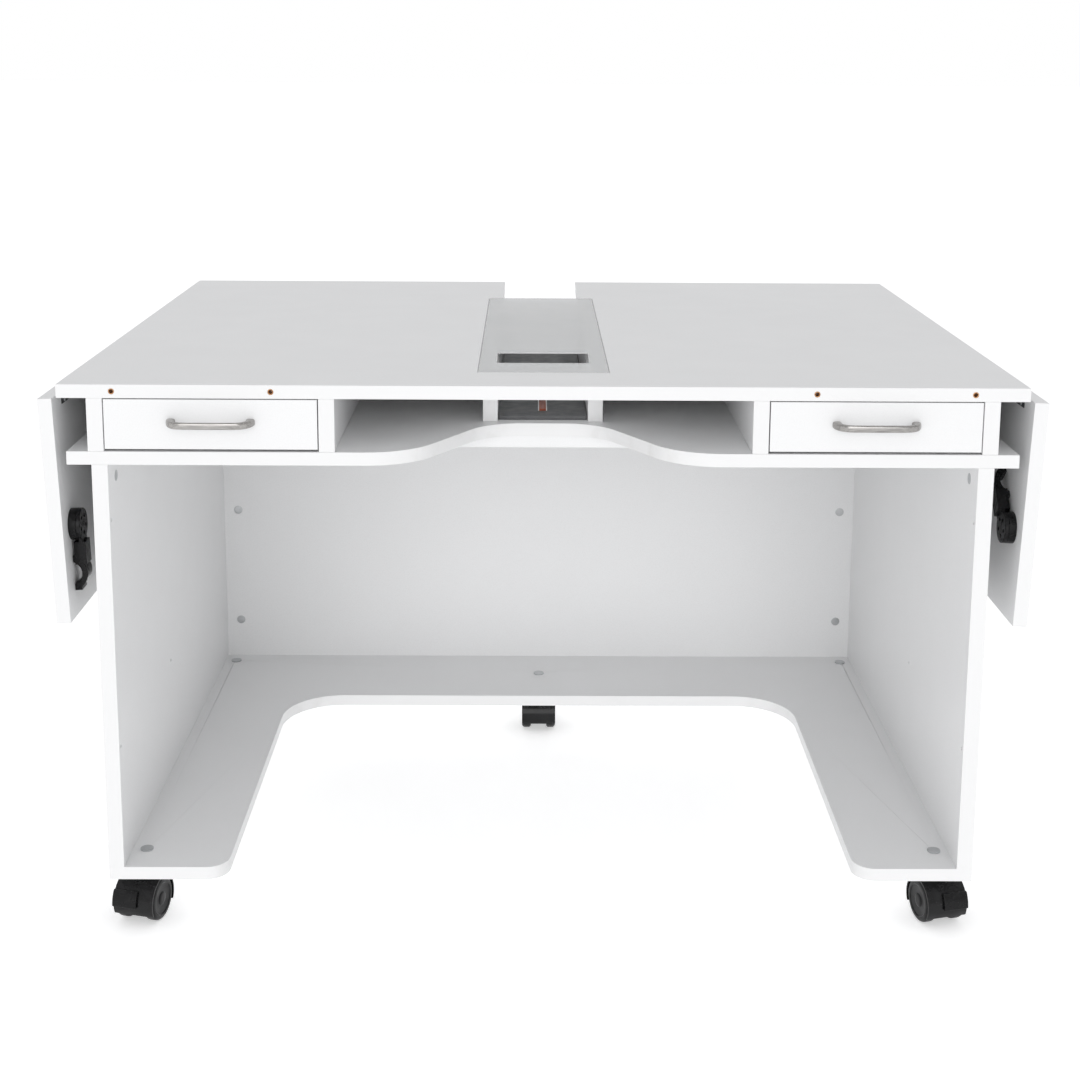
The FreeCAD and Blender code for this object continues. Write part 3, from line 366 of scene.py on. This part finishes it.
def dress_nodes(kit):
    board = 0.9 * MM
    for node in ("top_panel", "upper_shelf", "lower_shelf", "machine_tray"):
        dress(node, kit["flat"], board)
    for kind in ("outer", "inner", "mid"):
        for side in SIDES:
            dress("%s_divider_%s" % (kind, side), kit["side"], board)
    for node in ("upper_rear_wall", "shelf_rail", "back_panel", "wall_batten"):
        dress(node, kit["cross"], board)
    for side in SIDES:
        dress("side_panel_" + side, kit["side"], board)
        dress("leaf_" + side, kit["side"], board)
        dress("drawer_front_" + side, kit["cross"])
        dress("drawer_walls_" + side, kit["side"], 0.6 * MM)
        dress("drawer_bottom_" + side, kit["flat"])
        dress("drawer_runners_" + side, kit["zinc"], 0.3 * MM, 2)
        dress("handle_screws_" + side, kit["zinc"], 0.6 * MM, 2)
        make_handle(side, kit["nickel"])
        dress("leaf_flange_" + side, kit["dark_steel"], 0.25 * MM, 2, 50)
        dress("leaf_hinge_screws_" + side, kit["zinc"], 0.5 * MM, 2, 50)
        dress("hook_base_" + side, kit["black"], 1.0 * MM, 3, 50)
        dress("hook_arm_" + side, kit["black"], 1.0 * MM, 3, 50)
    # The machine tray's dark colour carries painted shade as well as its own dark grey.
    dress("machine_tray", kit["dark_board"], 0.6 * MM)
    make_insert(kit["clear"])
    dress("tray_strip", kit["wood"], 0.4 * MM)
    dress("strip_edging", kit["white_plastic"], 0.3 * MM)
    dress("tray_stop", kit["white_plastic"], 0.8 * MM)
    dress("threaded_inserts", kit["brass"], 0.4 * MM, 2, 50)
    dress("cam_locks", kit["zinc"], 0.5 * MM, 2, 50)
    make_cam_faces(kit["zinc"])
    dress("drawer_channels", kit["zinc"], 0.3 * MM, 2)
    dress("fixed_hinge_flanges", kit["dark_steel"], 0.25 * MM, 2, 50)
    dress("hinge_pins", kit["dark_steel"])
    dress("caster_stems", kit["zinc"], 1.2 * MM, 3, 50)
    for name in CASTERS:
        dress("caster_housing_" + name, kit["gloss_black"], 0.8 * MM, 3, 50)
        make_wheels(name, kit["tread"])
        if name.startswith("front"):
            dress("brake_pedal_" + name, kit["black"], 0.8 * MM, 3, 50)


# ---------------------------------------------------------------- pieces made here

def mesh_object(name, bm, material=None, body=None):
    """Turn mesh code into an object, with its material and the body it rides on."""
    mesh = bpy.data.meshes.new(name)
    bm.normal_update()
    bm.to_mesh(mesh)
    bm.free()
    item = bpy.data.objects.new(name, mesh)
    bpy.context.scene.collection.objects.link(item)
    if material:
        mesh.materials.append(material)
    if body:
        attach(item, body)
    return item


def smooth(item, degrees=40):
    """Shade a piece made here smooth, with its creases kept crisp."""
    item.data.polygons.foreach_set("use_smooth", [True] * len(item.data.polygons))
    split = item.modifiers.new("crease", "EDGE_SPLIT")
    split.split_angle = math.radians(degrees)
    return item


def bridge(bm, rings):
    """Quads between one closed ring of vertices and the next."""
    for low, high in zip(rings, rings[1:]):
        count = len(low)
        for i in range(count):
            j = (i + 1) % count
            bm.faces.new((low[i], low[j], high[j], high[i]))


def through(points, steps):
    """Points on a smooth line through the given ones."""
    line = []
    ends = [points[0]] + points + [points[-1]]
    for a, b, c, d in zip(ends, ends[1:], ends[2:], ends[3:]):
        for i in range(steps):
            t = i / steps
            line.append(tuple(0.5 * (2 * q + (r - p) * t + (2 * p - 5 * q + 4 * r - s) * t * t
                                     + (3 * q - p - 3 * r + s) * t ** 3) for p, q, r, s in zip(a, b, c, d)))
    return line + [points[-1]]


def rounded_outline(low, high, radius, steps=8):
    """The corners of a rounded rectangle, anticlockwise from the right-hand side."""
    points = []
    for k, (x, y) in enumerate(((high[0], high[1]), (low[0], high[1]), (low[0], low[1]), (high[0], low[1]))):
        centre = (x - math.copysign(radius, x - low[0] - 1e-6), y - math.copysign(radius, y - low[1] - 1e-6))
        for i in range(steps + 1):
            angle = math.pi / 2 * (k + i / steps)
            points.append((centre[0] + radius * math.cos(angle), centre[1] + radius * math.sin(angle)))
    return points


def make_insert(material):
    """The clear plate, a hair above the ledge it lies on, with its window and softened edges."""
    low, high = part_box("clear_insert")
    soft, lift = 0.4 * MM, 0.25 * MM
    start = low.y + WINDOW_START
    outer = ((low.x, low.y), (high.x, high.y))
    window = ((-WINDOW_HALF, start), (WINDOW_HALF, start + WINDOW_DEPTH))
    bm = bmesh.new()
    rings = []
    for inset, z in ((soft, low.z + lift), (0, low.z + lift + soft), (0, high.z - soft), (soft, high.z)):
        rings.append([bm.verts.new((x, y, z)) for x, y in rounded_outline(
            (outer[0][0] + inset, outer[0][1] + inset), (outer[1][0] - inset, outer[1][1] - inset), 3 * MM - inset)])
    for inset, z in ((soft, high.z), (0, high.z - soft), (0, low.z + lift + soft), (soft, low.z + lift)):
        rings.append([bm.verts.new((x, y, z)) for x, y in rounded_outline(
            (window[0][0] - inset, window[0][1] - inset), (window[1][0] + inset, window[1][1] + inset), 3 * MM + inset)])
    bridge(bm, rings + [rings[0]])
    bmesh.ops.recalc_face_normals(bm, faces=bm.faces[:])
    plate = smooth(mesh_object("clear_plate", bm, material, "frame"), 30)
    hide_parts("clear_insert")


def make_handle(side, material):
    """A bow handle: two wide feet on the drawer front, swept into a slim, slightly crowned bar."""
    low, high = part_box("drawer_handle_" + side)
    middle = (low + high) / 2
    reach, stand = (high.x - low.x) / 2, high.y - low.y
    # across, out, half thickness and half height, as shares of the handle's own size
    half = [(0.895, 0.0, 0.105, 0.5), (0.895, 0.16, 0.095, 0.5), (0.872, 0.4, 0.076, 0.49), (0.82, 0.62, 0.058, 0.475),
            (0.725, 0.79, 0.048, 0.465), (0.58, 0.865, 0.045, 0.46), (0.3, 0.888, 0.045, 0.46)]
    whole = half + [(0.0, 0.892, 0.045, 0.46)] + [(-x, y, t, h) for x, y, t, h in reversed(half)]
    line = through(whole, 5)
    bm = bmesh.new()
    rings = []
    for i, (across, out, thick, tall) in enumerate(line):
        before, after = line[max(i - 1, 0)], line[min(i + 1, len(line) - 1)]
        along = Vector(((after[0] - before[0]) * reach, -(after[1] - before[1]) * stand, 0)).normalized()
        if i in (0, len(line) - 1):
            along = Vector((0, -1 if i == 0 else 1, 0))
        normal = Vector((-along.y, along.x, 0))
        centre = Vector((middle.x + across * reach, high.y - out * stand, middle.z))
        ring = []
        for k in range(20):
            angle = 2 * math.pi * k / 20
            c, d = math.cos(angle), math.sin(angle)
            u = math.copysign(abs(c) ** 0.6, c) * thick * reach
            v = math.copysign(abs(d) ** 0.6, d) * tall * (high.z - low.z)
            ring.append(bm.verts.new(centre + normal * u + Vector((0, 0, v))))
        rings.append(ring)
    bridge(bm, rings)
    bm.faces.new(rings[0])
    bm.faces.new(rings[-1])
    bmesh.ops.recalc_face_normals(bm, faces=bm.faces[:])
    handle = smooth(mesh_object("bow_handle_" + side, bm, material, "drawer_" + side), 50)
    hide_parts("drawer_handle_" + side)


def lathe(bm, profile, frame_of, count=64):
    """Turn a profile of (along the axis, radius) round an axis; a radius of 0 closes it."""
    rings = []
    for along, radius in profile:
        if radius == 0:
            rings.append([bm.verts.new(frame_of @ Vector((along, 0, 0)))])
            continue
        rings.append([bm.verts.new(frame_of @ Vector((along, radius * math.cos(2 * math.pi * k / count),
                                                      radius * math.sin(2 * math.pi * k / count))))
                      for k in range(count)])
    for low, high in zip(rings, rings[1:]):
        for k in range(count):
            n = (k + 1) % count
            corners = [low[k % len(low)], low[n % len(low)], high[n % len(high)], high[k % len(high)]]
            unique = list(dict.fromkeys(corners))
            if len(unique) > 2:
                bm.faces.new(unique)


def make_wheels(name, material):
    """Two barrel wheels on one axle, with a raised hub in a shallow dish on each outer face."""
    joint = next(j for j in frame["record"]["behaviour"]["joints"] if j["name"] == "wheels_%s_spin" % name)
    axis = Vector(joint["axis"]).normalized()
    radius = joint["pos_m"][2]
    rest = Matrix((axis, Vector((0, 0, 1)).cross(axis), (0, 0, 1))).transposed().to_4x4()
    place = Matrix.Translation(joint["pos_m"]) @ rest
    edge = [(24.5 + 5 * math.sin(math.radians(a)), 25 + 5 * math.cos(math.radians(a))) for a in range(0, 91, 15)]
    inner_face = [(13.6, 0), (13.6, 26), (14.2, 28.2), (15.6, 29.6), (17.4, 30)]
    outer_face = [(29.5, 22.6), (28.9, 21.8), (28.3, 21.2), (28.0, 19), (27.6, 12),
                  (27.7, 9.6), (28.6, 8.8), (29.1, 7.8), (29.3, 4), (29.3, 0)]
    profile = inner_face + edge + outer_face
    bm = bmesh.new()
    for turn in (1, -1):
        flip = Matrix.Diagonal((turn, 1, 1, 1))
        scaled = [(a * MM, r * radius / 30) for a, r in profile]
        lathe(bm, scaled, place @ flip)
    lathe(bm, [(-13.7 * MM, 3 * MM), (13.7 * MM, 3 * MM)], place, 24)
    bmesh.ops.recalc_face_normals(bm, faces=bm.faces[:])
    wheels = smooth(mesh_object("barrel_wheels_" + name, bm, material, "wheels_" + name), 35)
    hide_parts("caster_wheels_" + name)


def make_cam_faces(material):
    """A rim and a cross recess on each cam lock that shows."""
    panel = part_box("back_panel")
    spots = []
    for sign in SIDES.values():
        for rise in CAM_RISES:
            place = Vector((sign * BACK_CAM_ACROSS, panel[0].y, SHELF_TOP + rise * MM))
            spots.append((place, Vector((0, -1, 0))))
        across, depth, height = SIDE_CAM
        spots.append((Vector((sign * across, depth, height)), Vector((-sign, 0, 0))))
    bm = bmesh.new()
    for place, out in spots:
        side = Vector((0, 0, 1)).cross(out)
        pose = Matrix.Translation(place) @ Matrix((out, side, (0, 0, 1))).transposed().to_4x4()
        rim_profile = [(0.0, 7.4 * MM), (0.35 * MM, 7.4 * MM), (0.5 * MM, 7.1 * MM),
                       (0.5 * MM, 6.4 * MM), (0.2 * MM, 6.1 * MM)]
        lathe(bm, rim_profile, pose, 48)
        arm, wide = 4.2 * MM, 1.0 * MM
        cross = [(wide, arm), (wide, wide), (arm, wide), (arm, -wide), (wide, -wide), (wide, -arm),
                 (-wide, -arm), (-wide, -wide), (-arm, -wide), (-arm, wide), (-wide, wide), (-wide, arm)]
        rim = [bm.verts.new(pose @ Vector((0.2 * MM, 6.1 * MM * y / math.hypot(y, z),
                                           6.1 * MM * z / math.hypot(y, z)))) for y, z in cross]
        lip = [bm.verts.new(pose @ Vector((0.32 * MM, y, z))) for y, z in cross]
        floor = [bm.verts.new(pose @ Vector((0.05 * MM, y, z))) for y, z in cross]
        bridge(bm, [rim, lip, floor])
        bm.faces.new(floor)
    bmesh.ops.recalc_face_normals(bm, faces=bm.faces[:])
    smooth(mesh_object("cam_faces", bm, material, "frame"), 30)


make_camera()
make_world()
make_floor()
set_view()
make_soft_sun("front_light", -6, 9, 0.95, 45)
kit = make_materials()
dress_nodes(kit)
